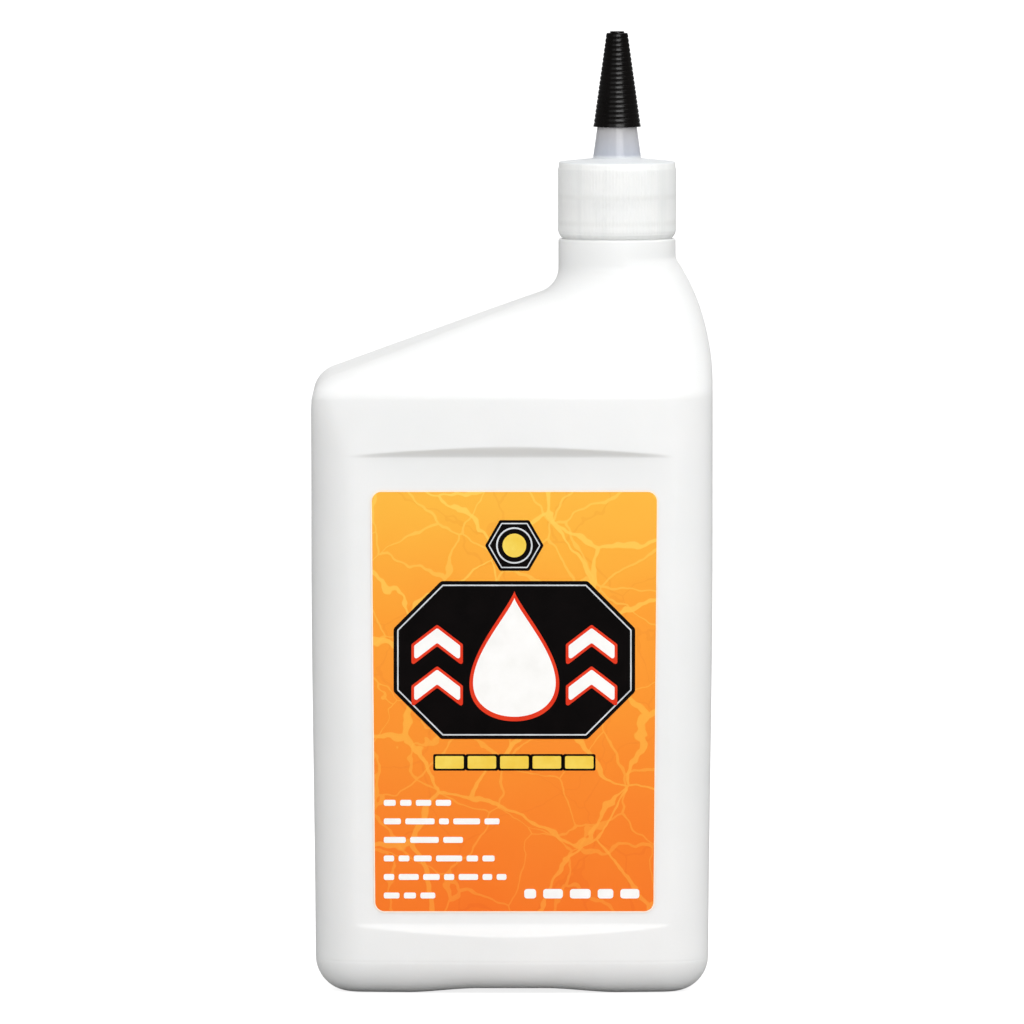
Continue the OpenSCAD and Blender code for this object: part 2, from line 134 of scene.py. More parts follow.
# Spout cap and tip
RIB_H = 0.2
RIB_COUNT = 108
RIB_VALLEY = 0.7
RIB_FADE_OUT = 0.3
RIB_FADE_IN = 0.2
RIB_LEVEL_GAP = 0.4
RIM_H = 1.5
SKIRT_BEVEL = 1.0
SKIRT_BEVEL_IN = 0.7
COLLAR_H = 0.6
COLLAR_GAP = 0.15
LINER_T = 1
CAP_TOP = 1.3
TOP_RISE = 0.9
CAP_BANDS = (3.8, 10.5)
CAP_BAND_HALF = 1.1
SPOUT_R = 6.25
SPOUT_END_R = 1.9
ORIFICE_R = 1.1
ORIFICE_H = 3
SPOUT_WALL = 1.2
BORE_FOOT_H = 0.4
PLUG_H = 2
PLUG_TAPER = 0.1
TIP_GAP = 0.15
TIP_WALL = 0.75
TIP_RINGS = 20
RING_FLARE = 0.15
RING_BEAD = 0.105
RING_STOPS = (0.25, 0.75, 0.97)
NUB_R = 1.8
NUB_H = 0.4
ON_AXIS = 0.01
ON_WALL = 0.05

# Heights and radii that follow from these
LEDGE_Z = LIP_Z - FINISH_H
THREAD_TOP_Z = LIP_Z - THREAD_DROP
THREAD_FOOT_Z = THREAD_TOP_Z - THREAD_TURNS * PITCH
CAP_INNER_Z = LIP_Z + LINER_T
CAP_TOP_Z = CAP_INNER_Z + CAP_TOP
RIBS_FOOT_Z = CAP_FOOT_Z + RIM_H
RIBS_TOP_Z = CAP_TOP_Z - RIM_H
SKIRT_IN_R = FINISH_R + THREAD_DEPTH + THREAD_GAP
RIB_ROOT_R = CAP_R - RIB_H
COLLAR_R = SKIRT_IN_R - COLLAR_GAP
PANEL_Y = HALF_D - PANEL_DEPTH

# Labels. Their print is measured across from the label's middle and up from its foot
FRONT, BACK = -1, 1
LABEL_X = (LABEL_LOW.x + LABEL_HIGH.x) / 2
LABEL_W_TOP = LABEL_HIGH.x - LABEL_LOW.x
LABEL_TAPER = 1.7
LABEL_FOOT_Z = LABEL_LOW.z
LABEL_H = LABEL_HIGH.z - LABEL_LOW.z
LABEL_T = 0.15
LABEL_R = 2.7
LAYER = 0.02
FILM_EDGE = 0.35
FINE_LINE = 0.3
BADGE_HALF_W = 30.5
BADGE_LOW = 44
BADGE_HIGH = 84
BADGE_CUT = 12
BADGE_R = 1.2
BADGE_LINE_INSET = 0.9
BADGE_LINE = 0.35
DROP_W = 21
DROP_H = 33
DROP_RISE = 1
DROP_EDGE_W = 1.7
DROP_EDGE_H = 2.9
DROP_INNER_RISE = 0.7
DROP_FULLNESS = 0.77
DROP_POINT = 1.5
HEAD_U = 19.5
HEADS_V = (-7, 3.5)
HEAD_W = 13
HEAD_RISE = 5
HEAD_STROKE = 5.5
HEAD_EDGE = 0.7
BAR_COUNT = 5
BAR_LEFT = -20
BAR_PITCH = 8.2
BAR_W = 7.2
BAR_H = 3.2
BAR_V = 36.5
BAR_RIM = 0.5
NUT_V = 93
NUT_R = 7.4
NUT_LINE_INSET = 0.7
NUT_RING_R = 4.6
NUT_RING_LINE = 0.4
NUT_MIDDLE_R = 3
PRINT_LEFT = -33
PRINT_RIGHT = 33.5
PRINT_FOOT = 3.6
ROW_PITCH = 4.7
ROW_WIDTHS = (13, 31, 28, 20, 30, 17)
LARGE_PRINT_LEFT = 2.5
SHORTEST_DASH = 0.3
LEAST_DASH = 1.2
DASH_GAP = 0.75
DASH_R = 0.3
BACK_BAND_V = (88, 101)
BACK_BAND_R = 1.5
BACK_LINE_INSET = 0.7
BACK_BARS_V = 92.5
BACK_BARS_U = (-27, 28)
BACK_COLUMNS = (-33, 1.5)
BACK_COLUMN_W = (24, 31.5)
BACK_ROWS_FOOT = 8
BACK_ROW_PITCH = 5
BACK_ROWS = 15
BACK_EMPTY_ROWS = (5, 10)
BACK_FRAME = (-35, 3, 35, 84.5)

# How finely the meshes are cut. The levels lie closer together outside the slope's middle stretch
RING_POINTS = 288
LATHE_POINTS = 144
RIB_POINTS = 8
CIRCLE_POINTS = 64
THREAD_STEPS = 72
FOOT_LEVELS = 24
CORNER_CROWDING = 0.5
ROUNDING_REACH = 0.49
NEARLY_STRAIGHT = 0.01
MERGE = 1e-7
SLOPE_FOOT_Z = 165
SLOPE_TOP_Z = 176


# The outline of the bottle, as in its solids but for tighter edges and a longer ridge on the slope

def mix(a, b, share):
    return a + (b - a) * share


def ramp(v, a, b):
    """A soft step, 0 up to a and 1 from b."""
    t = min(max((v - a) / (b - a), 0), 1)
    return t * t * (3 - 2 * t)


def bulge(r, d):
    """Half the chord of a circle of radius r at a distance d from its middle."""
    return math.sqrt(max(r * r - d * d, 0))


def soft_min(a, b, k):
    """The lesser of two numbers, rounded over where they differ by less than k."""
    h = max(k - abs(a - b), 0) / k
    return min(a, b) - h * h * k / 4


SIN_S = math.sin(SHOULDER_ANGLE)
COS_S = math.cos(SHOULDER_ANGLE)
TAN_S = math.tan(SHOULDER_ANGLE)
NECK_LEFT = NECK_X - NECK_R
NECK_RIGHT = NECK_X + NECK_R
LEFT_ARC_X = -HALF_W + SHOULDER_R
LEFT_ARC_Z = SHOULDER_Z - SHOULDER_R * math.tan((math.pi / 2 - SHOULDER_ANGLE) / 2)
LEFT_FILLET_X = NECK_LEFT - NECK_FILLET_LEFT
LEFT_RUN = LEFT_FILLET_X - LEFT_ARC_X + (NECK_FILLET_LEFT + SHOULDER_R) * SIN_S
LEFT_FILLET_Z = LEFT_ARC_Z + LEFT_RUN * TAN_S + (NECK_FILLET_LEFT + SHOULDER_R) * COS_S
RIGHT_DROP = HALF_W - NECK_RIGHT
RIGHT_RISE = LEFT_FILLET_Z + RIGHT_SHOULDER_RISE - SHOULDER_Z
RIGHT_ARC_R = (RIGHT_RISE ** 2 + RIGHT_DROP ** 2) / (2 * RIGHT_DROP)
RIGHT_ARC_X = HALF_W - RIGHT_ARC_R
RIGHT_FILLET_X = NECK_RIGHT + NECK_FILLET_RIGHT
RIGHT_FILLET_Z = SHOULDER_Z + math.sqrt(
    (RIGHT_ARC_R + NECK_FILLET_RIGHT) ** 2 - (RIGHT_FILLET_X - RIGHT_ARC_X) ** 2)
CREASE_Z = SHOULDER_Z - CREASE_DROP
FRONT_FILLET_Y = NECK_R + NECK_FILLET_FRONT
FRONT_FILLET_Z = LEFT_FILLET_Z + FRONT_FILLET_RISE
LEAN_REACH = math.hypot(FRONT_FILLET_Y - HALF_D, FRONT_FILLET_Z - CREASE_Z)
LEAN = (math.atan2(HALF_D - FRONT_FILLET_Y, FRONT_FILLET_Z - CREASE_Z)
        + math.asin(NECK_FILLET_FRONT / LEAN_REACH))
CREASE_ARC_Y = HALF_D - CREASE_R
CREASE_ARC_Z = CREASE_Z - CREASE_R * math.tan(LEAN / 2)

# The top of each band of levels between the foot and the neck, and the step between its levels
LEVEL_BANDS = (
    (PANEL_LOW - LEDGE_LOW_H, 2),
    (PANEL_LOW, 0.3),
    (PANEL_HIGH, 8),
    (PANEL_HIGH + LEDGE_HIGH_H, 0.25),
    (CREASE_ARC_Z, 3),
    (SLOPE_FOOT_Z, 0.4),
    (SLOPE_TOP_Z, 0.8),
    (RIGHT_FILLET_Z, 0.4),
)


def wall_x(z):
    """Half the body's width, which tapers towards the foot."""
    return HALF_W - FOOT_TAPER / 2 * (1 - ramp(z, 0, TAPER_H))


def foot_inset(z, o):
    """How far the rounded foot draws in, o inside the outer surface."""
    return FOOT_R - bulge(FOOT_R - o, FOOT_R - z) if z < FOOT_R else o


def left_x(z, o):
    """The left outline: upright wall, rounded corner, slope, fillet and neck."""
    corner_end = LEFT_ARC_Z + (SHOULDER_R - o) * COS_S
    fillet_start = LEFT_FILLET_Z - (NECK_FILLET_LEFT + o) * COS_S
    if z <= LEFT_ARC_Z:
        return foot_inset(z, o) - wall_x(z)
    if z <= corner_end:
        return LEFT_ARC_X - bulge(SHOULDER_R - o, z - LEFT_ARC_Z)
    if z <= fillet_start:
        return LEFT_ARC_X - (SHOULDER_R - o) * SIN_S + (z - corner_end) / TAN_S
    if z <= LEFT_FILLET_Z:
        return LEFT_FILLET_X + bulge(NECK_FILLET_LEFT + o, LEFT_FILLET_Z - z)
    return NECK_LEFT + o


def right_x(z, o):
    """The right outline: upright wall, one long arc, fillet and neck."""
    arc_share = (RIGHT_ARC_R - o) / (RIGHT_ARC_R + NECK_FILLET_RIGHT)
    tangent_z = SHOULDER_Z + (RIGHT_FILLET_Z - SHOULDER_Z) * arc_share
    if z <= SHOULDER_Z:
        return wall_x(z) - foot_inset(z, o)
    if z <= tangent_z:
        return RIGHT_ARC_X + bulge(RIGHT_ARC_R - o, z - SHOULDER_Z)
    if z <= RIGHT_FILLET_Z:
        return RIGHT_FILLET_X - bulge(NECK_FILLET_RIGHT + o, RIGHT_FILLET_Z - z)
    return NECK_RIGHT - o


def front_y(z, o):
    """The outline seen from the side: upright face, crease, leaning shoulder, fillet and neck."""
    crease_end = CREASE_ARC_Z + (CREASE_R - o) * math.sin(LEAN)
    fillet_start = FRONT_FILLET_Z - (NECK_FILLET_FRONT + o) * math.sin(LEAN)
    if z <= CREASE_ARC_Z:
        return HALF_D - foot_inset(z, o)
    if z <= crease_end:
        return CREASE_ARC_Y + bulge(CREASE_R - o, z - CREASE_ARC_Z)
    if z <= fillet_start:
        return CREASE_ARC_Y + (CREASE_R - o) * math.cos(LEAN) - (z - crease_end) * math.tan(LEAN)
    if z <= FRONT_FILLET_Z:
        return FRONT_FILLET_Y - bulge(NECK_FILLET_FRONT + o, FRONT_FILLET_Z - z)
    return NECK_R - o


def neck_share(z):
    """How far a level is on its way from the body's outline, 0, to the neck's, 1."""
    if z < CREASE_ARC_Z:
        return 0
    return min(max((HALF_D - front_y(z, 0)) / (HALF_D - NECK_R), 0), 1)


def left_steepness(z):
    """The rise of the left outline along its own length, 1 where it is upright."""
    return 1 if z <= LEFT_ARC_Z else max(bulge(SHOULDER_R, z - LEFT_ARC_Z) / SHOULDER_R, SIN_S)


def ridge_share(z):
    """Where the sloping shoulder's long edges are tight, 1, and where they aren't, 0."""
    start = LEFT_ARC_Z - RIDGE_LEAD
    fillet_start = LEFT_FILLET_Z - NECK_FILLET_LEFT * COS_S - RIDGE_R
    return ramp(z, start, start + RIDGE_RUN) * (1 - ramp(z, fillet_start, LEFT_FILLET_Z))


def panel_share(z):
    """Where the label panel is sunk to its full depth, 1, and where it isn't, 0."""
    below = ramp(z, PANEL_LOW - LEDGE_LOW_H, PANEL_LOW)
    return below * (1 - ramp(z, PANEL_HIGH, PANEL_HIGH + LEDGE_HIGH_H))


def on_outline(u, v, a, d, rx, ry):
    """The point where a ray along (u, v) leaves a rectangle of half sizes a, d with elliptical corners."""
    p, q = a - rx, d - ry
    if u > 1e-9 and v * a / u <= q:
        return a, v * a / u
    if u * d / v <= p:
        return u * d / v, d
    k2 = (u / rx) ** 2 + (v / ry) ** 2
    k1 = u * p / rx ** 2 + v * q / ry ** 2
    k0 = (p / rx) ** 2 + (q / ry) ** 2 - 1
    s = (k1 + math.sqrt(max(k1 * k1 - k2 * k0, 0))) / k2
    return s * u, s * v


def level_angle(i):
    """Angles round a level, closer together towards the four corners."""
    turn = i / RING_POINTS * 4
    quarter = math.floor(turn)
    u = turn - quarter
    return math.pi / 2 * (quarter + u + CORNER_CROWDING * math.sin(2 * math.pi * u) / (2 * math.pi))


def parting(z):
    """Depth of the fine parting line round the foot."""
    return PARTING_DEPTH * math.exp(-((z - PARTING_Z) / PARTING_HALF) ** 2)


def level(z, o, inset=0, lift=0):
    """One level of the blown body at height z, o inside the outer surface."""
    xl, xr = left_x(z, o) + inset, right_x(z, o) - inset
    cx, a = (xl + xr) / 2, (xr - xl) / 2
    share = neck_share(z)
    bow = FACE_BOW * (1 - share)
    d = front_y(z, o) - inset - bow
    r_open = max(mix(CORNER_R, NECK_R, share) - foot_inset(z, o) - inset, MIN_CORNER_R)
    r_right = min(r_open, d)
    k = ridge_share(z)
    ry = min(mix(r_right, max(RIDGE_R - o, MIN_RIDGE_R), k), d)
    rx = mix(r_right, ry / left_steepness(z), k)
    cut = PANEL_Y - o + PANEL_DEPTH * (1 - panel_share(z))
    soft = PANEL_EDGE_SOFT * panel_share(z) + PANEL_EDGE_LEAST
    ring = []
    for i in range(RING_POINTS):
        t = level_angle(i)
        c, s = math.cos(t), math.sin(t)
        corner = (r_right, r_right) if c >= 0 else (rx, ry)
        hx, hy = on_outline(abs(c) * a, abs(s) * d, a, d, *corner)
        y = soft_min(hy * (1 + bow * (1 - (hx / a) ** 2) / d), cut, soft)
        x = cx + math.copysign(hx, c)
        up = lift * (1 - ramp(abs(x), ARCH_LEVEL * ARCH_HALF, ARCH_HALF))
        ring.append((x, math.copysign(y, s), z + up))
    return ring


def round_level(r, z):
    """One round level of the neck, with its points at the same angles as the body's."""
    angles = [level_angle(i) for i in range(RING_POINTS)]
    return [(NECK_X + r * math.cos(t), r * math.sin(t), z) for t in angles]


def heights(a, b, step):
    """Even heights from a up to but without b, about a step apart."""
    n = max(1, round((b - a) / step))
    return [a + (b - a) * k / n for k in range(n)]


def foot_lift(z):
    """How far the foot's middle is arched off the ground."""
    return ARCH_H * (1 - z / FOOT_R) ** 2 if z < FOOT_R else 0


def body_levels(o, fine):
    """The levels of the surface that lies o inside the outer one, from the base's middle to the neck.

    fine is the number of levels, as a share of the outer surface's.
    """
    steps = int(FOOT_LEVELS * fine)
    zs = [FOOT_R - (FOOT_R - o) * math.cos(math.pi / 2 * k / steps) for k in range(steps)]
    if o == 0:
        near = heights(PARTING_Z - 3 * PARTING_HALF, FOOT_R, PARTING_HALF / 3)
        zs = [z for z in zs if z < near[0]] + near
    start = FOOT_R
    for top, step in LEVEL_BANDS:
        zs += heights(start, top, step / fine)
        start = top
    base = []
    for share in (1, 0.5):
        ring = level(o, o, FOOT_LAND + PUSHUP_RUN * share)
        base.append([(x, y, z + PUSHUP_H * share) for x, y, z in ring])
    base.append(level(o, o, FOOT_LAND, foot_lift(o)))
    return base + [level(z, o, parting(z) if o == 0 else 0, foot_lift(z)) for z in zs]


# Mesh helpers

def rounded(points, radius=None, steps=4, closed=True):
    """Rounds the corners of an outline, all by one radius or each by the third number of its point."""
    out, n = [], len(points)
    radii = [radius] * n if radius is not None else [point[2] for point in points]
    corners = [Vector(point[:2]) for point in points]
    for i, p in enumerate(corners):
        if radii[i] <= 0 or (not closed and i in (0, n - 1)):
            out.append(tuple(p))
            continue
        a = corners[i - 1] - p
        b = corners[(i + 1) % n] - p
        half = a.angle(b) / 2
        if half > math.pi / 2 - NEARLY_STRAIGHT:
            out.append(tuple(p))
            continue
        reach = min(radii[i] / math.tan(half), a.length * ROUNDING_REACH, b.length * ROUNDING_REACH)
        start = p + a.normalized() * reach
        centre = p + (a.normalized() + b.normalized()).normalized() * (reach / math.cos(half))
        sweep = (math.pi - 2 * half) * (1 if a.x * b.y - a.y * b.x < 0 else -1)
        for k in range(steps + 1):
            t = sweep * k / steps
            c, s = math.cos(t), math.sin(t)
            r = start - centre
            out.append((centre.x + c * r.x - s * r.y, centre.y + s * r.x + c * r.y))
    return out


def lathe(profile, segments, swell=None):
    """Turns a closed outline of (radius, height) round the neck's axis.

    swell(angle, radius, height) gives the radius where it isn't the outline's own.
    """
    verts, faces, n = [], [], len(profile)
    for i in range(segments):
        t = 2 * math.pi * i / segments
        for r, z in profile:
            rr = swell(t, r, z) if swell else r
            verts.append((NECK_X + rr * math.cos(t), rr * math.sin(t), z))
    for i in range(segments):
        j = (i + 1) % segments
        for k in range(n):
            m = (k + 1) % n
            faces.append((i * n + k, j * n + k, j * n + m, i * n + m))
    return verts, faces


def loft(rings):
    """A skin over a list of rings, closed with a fan at its first and its last one."""
    n = len(rings[0])
    verts = [p for ring in rings for p in ring]
    faces = []
    for j in range(len(rings) - 1):
        for i in range(n):
            m = (i + 1) % n
            faces.append((j * n + i, j * n + m, (j + 1) * n + m, (j + 1) * n + i))
    last = (len(rings) - 1) * n
    faces.append(tuple(reversed(range(n))))
    faces.append(tuple(last + i for i in range(n)))
    return verts, faces


def thread(r_foot, r_crest, z0):
    """A helical ridge from z0 upwards, whose ends run out into its wall."""
    steps = math.ceil(THREAD_TURNS * THREAD_STEPS)
    rings = []
    for k in range(steps + 1):
        share = k / steps
        t = 2 * math.pi * THREAD_TURNS * share
        z = z0 + PITCH * THREAD_TURNS * share
        full = min(1, min(share, 1 - share) / THREAD_RUN_OUT)
        r = mix(r_foot + (r_crest - r_foot) * THREAD_END_DEPTH, r_crest, full)
        section = rounded([(r_foot, -THREAD_W_FOOT / 2, 0), (r, -THREAD_W_CREST / 2, THREAD_CREST_R),
                           (r, THREAD_W_CREST / 2, THREAD_CREST_R), (r_foot, THREAD_W_FOOT / 2, 0)], steps=3)
        rings.append([(NECK_X + s * math.cos(t), s * math.sin(t), z + h) for s, h in section])
    if r_crest > r_foot:
        rings.reverse()
    return loft(rings)


def piece(name, parts, body, material, crease=30):
    """One object from one or more (vertices, faces) in millimetres, riding on a body."""
    verts, faces = [], []
    for part_verts, part_faces in parts:
        start = len(verts)
        verts += [(x * MM, y * MM, z * MM) for x, y, z in part_verts]
        faces += [tuple(start + i for i in f) for f in part_faces]
    mesh = bpy.data.meshes.new(name)
    mesh.from_pydata(verts, [], faces)
    work = bmesh.new()
    work.from_mesh(mesh)
    bmesh.ops.remove_doubles(work, verts=work.verts, dist=MERGE)
    bmesh.ops.recalc_face_normals(work, faces=work.faces)
    work.to_mesh(mesh)
    work.free()
    mesh.shade_smooth()
    mesh.set_sharp_from_angle(angle=math.radians(crease))
    obj = bpy.data.objects.new(name, mesh)
    bpy.context.collection.objects.link(obj)
    mesh.materials.append(material)
    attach(obj, body)
    return obj


# Materials

# The range that nearly all of a noise's values lie in
NOISE_LOW, NOISE_HIGH = 0.3, 0.7
WHITE = (1, 1, 1)


def srgb(r, g, b):
    """A colour as it is read off a screen, 0 to 255, in linear light."""
    def one(v):
        v /= 255
        return v / 12.92 if v <= 0.04045 else ((v + 0.055) / 1.055) ** 2.4
    return one(r), one(g), one(b)


class Tree:
    """A node tree, with short calls for the nodes used here."""

    def __init__(self, tree):
        self.tree = tree

    def add(self, kind, **settings):
        node = self.tree.nodes.new("ShaderNode" + kind)
        for key, value in settings.items():
            setattr(node, key, value)
        return node

    def link(self, a, b):
        self.tree.links.new(a, b)

    def put(self, value, socket):
        """Gives a socket its value: a number, a colour or another node's output."""
        if isinstance(value, (int, float)):
            socket.default_value = value
        elif isinstance(value, tuple):
            socket.default_value = (*value, 1)
        else:
            self.link(value, socket)

    def place(self, kind="Object"):
        return self.add("TexCoord").outputs[kind]

    def axis(self, name, kind="Object"):
        split = self.add("SeparateXYZ")
        self.link(self.place(kind), split.inputs[0])
        return split.outputs[name]

    def noise(self, scale, detail=3, roughness=0.5, at=None, output="Fac"):
        node = self.add("TexNoise")
        node.inputs["Scale"].default_value = scale
        node.inputs["Detail"].default_value = detail
        node.inputs["Roughness"].default_value = roughness
        self.link(at or self.place(), node.inputs["Vector"])
        return node.outputs[output]

    def math(self, operation, a, b=None):
        node = self.add("Math", operation=operation)
        self.put(a, node.inputs[0])
        if b is not None:
            self.put(b, node.inputs[1])
        return node.outputs[0]

    def away(self, value, place):
        """How far a value is from a place, either way."""
        return self.math("ABSOLUTE", self.math("SUBTRACT", value, place))

    def vector(self, operation, a, b):
        """Vector maths. b is three numbers, another output, or one number to scale by."""
        node = self.add("VectorMath", operation=operation)
        self.link(a, node.inputs[0])
        if operation == "SCALE":
            node.inputs["Scale"].default_value = b
        elif isinstance(b, tuple):
            node.inputs[1].default_value = b
        else:
            self.link(b, node.inputs[1])
        return node.outputs[0]

    def remap(self, value, a, b, c=0.0, d=1.0, smooth=False):
        """Carries a to c and b to d, and goes no further than these."""
        node = self.add("MapRange", interpolation_type="SMOOTHSTEP" if smooth else "LINEAR")
        for key, number in zip(("Value", "From Min", "From Max", "To Min", "To Max"), (value, a, b, c, d)):
            self.put(number, node.inputs[key])
        return node.outputs["Result"]

    def wander(self, noise, least, most):
        """A number that wanders between two with a noise."""
        return self.remap(noise, NOISE_LOW, NOISE_HIGH, least, most)

    def ramp(self, value, stops):
        node = self.add("ValToRGB")
        marks = node.color_ramp.elements
        while len(marks) < len(stops):
            marks.new(0.5)
        for mark, (place, colour) in zip(marks, stops):
            mark.position = place
            mark.color = (*colour, 1)
        self.link(value, node.inputs["Fac"])
        return node.outputs["Color"]

    def mottle(self, noise, dark, light):
        """A colour that wanders between two with a noise. Each is given as it is read off a screen."""
        return self.ramp(noise, [(NOISE_LOW, srgb(*dark)), (NOISE_HIGH, srgb(*light))])

    def blend(self, share, a, b):
        """A mix of two colours, which go in at the node's sockets 6 and 7 and come out at 2."""
        node = self.add("Mix", data_type="RGBA")
        for socket, value in zip((node.inputs[0], node.inputs[6], node.inputs[7]), (share, a, b)):
            self.put(value, socket)
        return node.outputs[2]


class Nodes(Tree):
    """A material: a node tree that ends in one shader."""

    def __init__(self, name):
        self.material = bpy.data.materials.new(name)
        self.material.use_nodes = True
        super().__init__(self.material.node_tree)
        self.shader = self.tree.nodes["Principled BSDF"]
        self.out = self.tree.nodes["Material Output"]

    def feed(self, name, value):
        self.link(value, self.shader.inputs[name])

    def set(self, **values):
        for key, value in values.items():
            self.shader.inputs[key.replace("_", " ")].default_value = value

    def bump(self, height, strength, distance):
        node = self.add("Bump")
        node.inputs["Strength"].default_value = strength
        node.inputs["Distance"].default_value = distance
        self.link(height, node.inputs["Height"])
        self.feed("Normal", node.outputs["Normal"])


def bottle_plastic():
    """White blown plastic, with painted shade where it faces down at the label panel's upper ledge."""
    n = Nodes("white_polyethylene")
    plain = n.mottle(n.noise(22, 4, 0.55), (239, 240, 239), (245, 245, 244))
    # Painted shade: the colour greys where the surface faces down at the upper ledge, in place of the ledge's
    # own shadow.
    under = n.remap(n.axis("Z", "Normal"), -0.1, -0.5, smooth=True)
    off_ledge = n.away(n.axis("Z"), (PANEL_HIGH + LEDGE_HIGH_H / 2) * MM)
    near_ledge = n.remap(off_ledge, LEDGE_HIGH_H / 2 * MM, LEDGE_HIGH_H * MM, 1.0, 0.0)
    shadow = n.math("MULTIPLY", n.math("MULTIPLY", under, near_ledge), 0.3)
    n.feed("Base Color", n.blend(shadow, plain, srgb(196, 195, 190)))
    n.feed("Roughness", n.wander(n.noise(160, 4), 0.34, 0.46))
    seam = n.remap(n.math("ABSOLUTE", n.axis("Y")), 0.1 * MM, 0.4 * MM, 0.6, 0.0, smooth=True)
    grain = n.math("MULTIPLY", n.noise(1400), 0.25)
    waves = n.math("MULTIPLY", n.noise(45, 2), 1.2)
    n.bump(n.math("ADD", n.math("ADD", grain, waves), seam), 0.25, 0.2 * MM)
    n.set(Subsurface_Weight=0.15, Subsurface_Radius=(1, 0.95, 0.85), Subsurface_Scale=2 * MM, IOR=1.5)
    return n.material


def milky_plastic():
    """Unpigmented plastic: white where it is thick and backed by the neck; the grey of the hollow spout, the
    grey rim of the cap's top and two darker bands on the skirt are painted shade.
    """
    n = Nodes("natural_polyethylene")
    cloudy = n.noise(120)
    z = n.axis("Z")
    skirt = n.mottle(cloudy, (244, 246, 244), (249, 250, 247))
    upright = n.vector("MULTIPLY", n.place(), (1, 1, 0.03))
    streaks = n.remap(n.noise(450, 2, at=upright), 0.5, 0.75, 0.0, 0.5)
    skirt = n.blend(streaks, skirt, srgb(228, 230, 229))
    # Painted shade: two soft darker bands where the inner thread shows through the milky wall.
    for band in CAP_BANDS:
        off_band = n.away(z, (CAP_FOOT_Z + band) * MM)
        on_band = n.remap(off_band, 0.1 * MM, CAP_BAND_HALF * MM, 0.6, 0.0, smooth=True)
        skirt = n.blend(on_band, skirt, srgb(238, 239, 236))
    # Painted shade: a grey line on the cap's top surface, which the camera sees edge-on.
    on_top = n.remap(z, (CAP_TOP_Z - 0.3) * MM, (CAP_TOP_Z - 0.05) * MM)
    skirt = n.blend(on_top, skirt, srgb(228, 231, 233))
    # Painted shade: the spout's grey, bluish at its foot and warmer up to the tip, stands in for the look
    # into its translucent hollow.
    spout_foot, tip_foot = (CAP_TOP_Z + TOP_RISE) * MM, TIP_FOOT_Z * MM
    up_spout = n.remap(z, spout_foot, tip_foot)
    spout = n.ramp(up_spout, [(0.0, srgb(178, 184, 197)), (1.0, srgb(185, 183, 183))])
    spout = n.blend(n.wander(cloudy, 0.0, 0.4), spout, srgb(200, 200, 204))
    hollow = n.remap(z, spout_foot - 0.2 * MM, spout_foot + 1.2 * MM, smooth=True)
    n.feed("Base Color", n.blend(hollow, skirt, spout))
    matt = n.wander(n.noise(300), 0.38, 0.46)
    n.feed("Roughness", n.math("SUBTRACT", matt, n.math("MULTIPLY", hollow, 0.22)))
    n.bump(n.noise(500), 0.06, 0.1 * MM)
    n.set(Subsurface_Weight=0.4, Subsurface_Radius=(1, 1, 0.95), Subsurface_Scale=2 * MM, IOR=1.5)
    return n.material


def tip_plastic():
    """Glossy black plastic."""
    n = Nodes("black_polyethylene")
    n.feed("Base Color", n.mottle(n.noise(260), (5, 3, 2), (9, 6, 5)))
    n.feed("Roughness", n.wander(n.noise(700, 4), 0.22, 0.28))
    n.bump(n.noise(1800, 2), 0.15, 0.08 * MM)
    n.set(IOR=1.5, Specular_IOR_Level=0.4)
    return n.material


def foam():
    """Matt pale foam of the sealing ring."""
    n = Nodes("liner_foam")
    n.feed("Base Color", n.mottle(n.noise(900, 4), (222, 221, 214), (240, 239, 234)))
    n.bump(n.noise(2500), 0.4, 0.2 * MM)
    n.set(Roughness=0.75)
    return n.material


def amber_oil():
    """Clear amber liquid."""
    n = Nodes("amber_oil")
    n.feed("Base Color", n.mottle(n.noise(14, 2), (214, 150, 42), (226, 168, 62)))
    n.feed("Roughness", n.wander(n.noise(60, 2), 0.03, 0.07))
    n.bump(n.noise(25, 1), 0.05, 0.4 * MM)
    n.set(Transmission_Weight=0.5, IOR=1.47)
    return n.material


def veins(n, place, cell, width, wander, seed):
    """A share that is 1 on the lines of an irregular branching net and 0 between them."""
    swirl = n.vector("SUBTRACT", n.noise(75, at=place, output="Color"), (0.5, 0.5, 0.5))
    bent = n.vector("ADD", place, n.vector("SCALE", swirl, wander))
    at = n.vector("ADD", bent, (seed, 0.31 * seed, 0.17 * seed))
    net = n.add("TexVoronoi", feature="DISTANCE_TO_EDGE")
    net.inputs["Scale"].default_value = 1 / cell
    n.link(at, net.inputs["Vector"])
    thick = n.remap(n.noise(38, 2, at=at), 0.35, 0.65, 0.25 * width / cell, width / cell)
    edge = n.math("DIVIDE", net.outputs["Distance"], thick)
    return n.remap(edge, 0.7, 1.0, 1.0, 0.0, smooth=True)


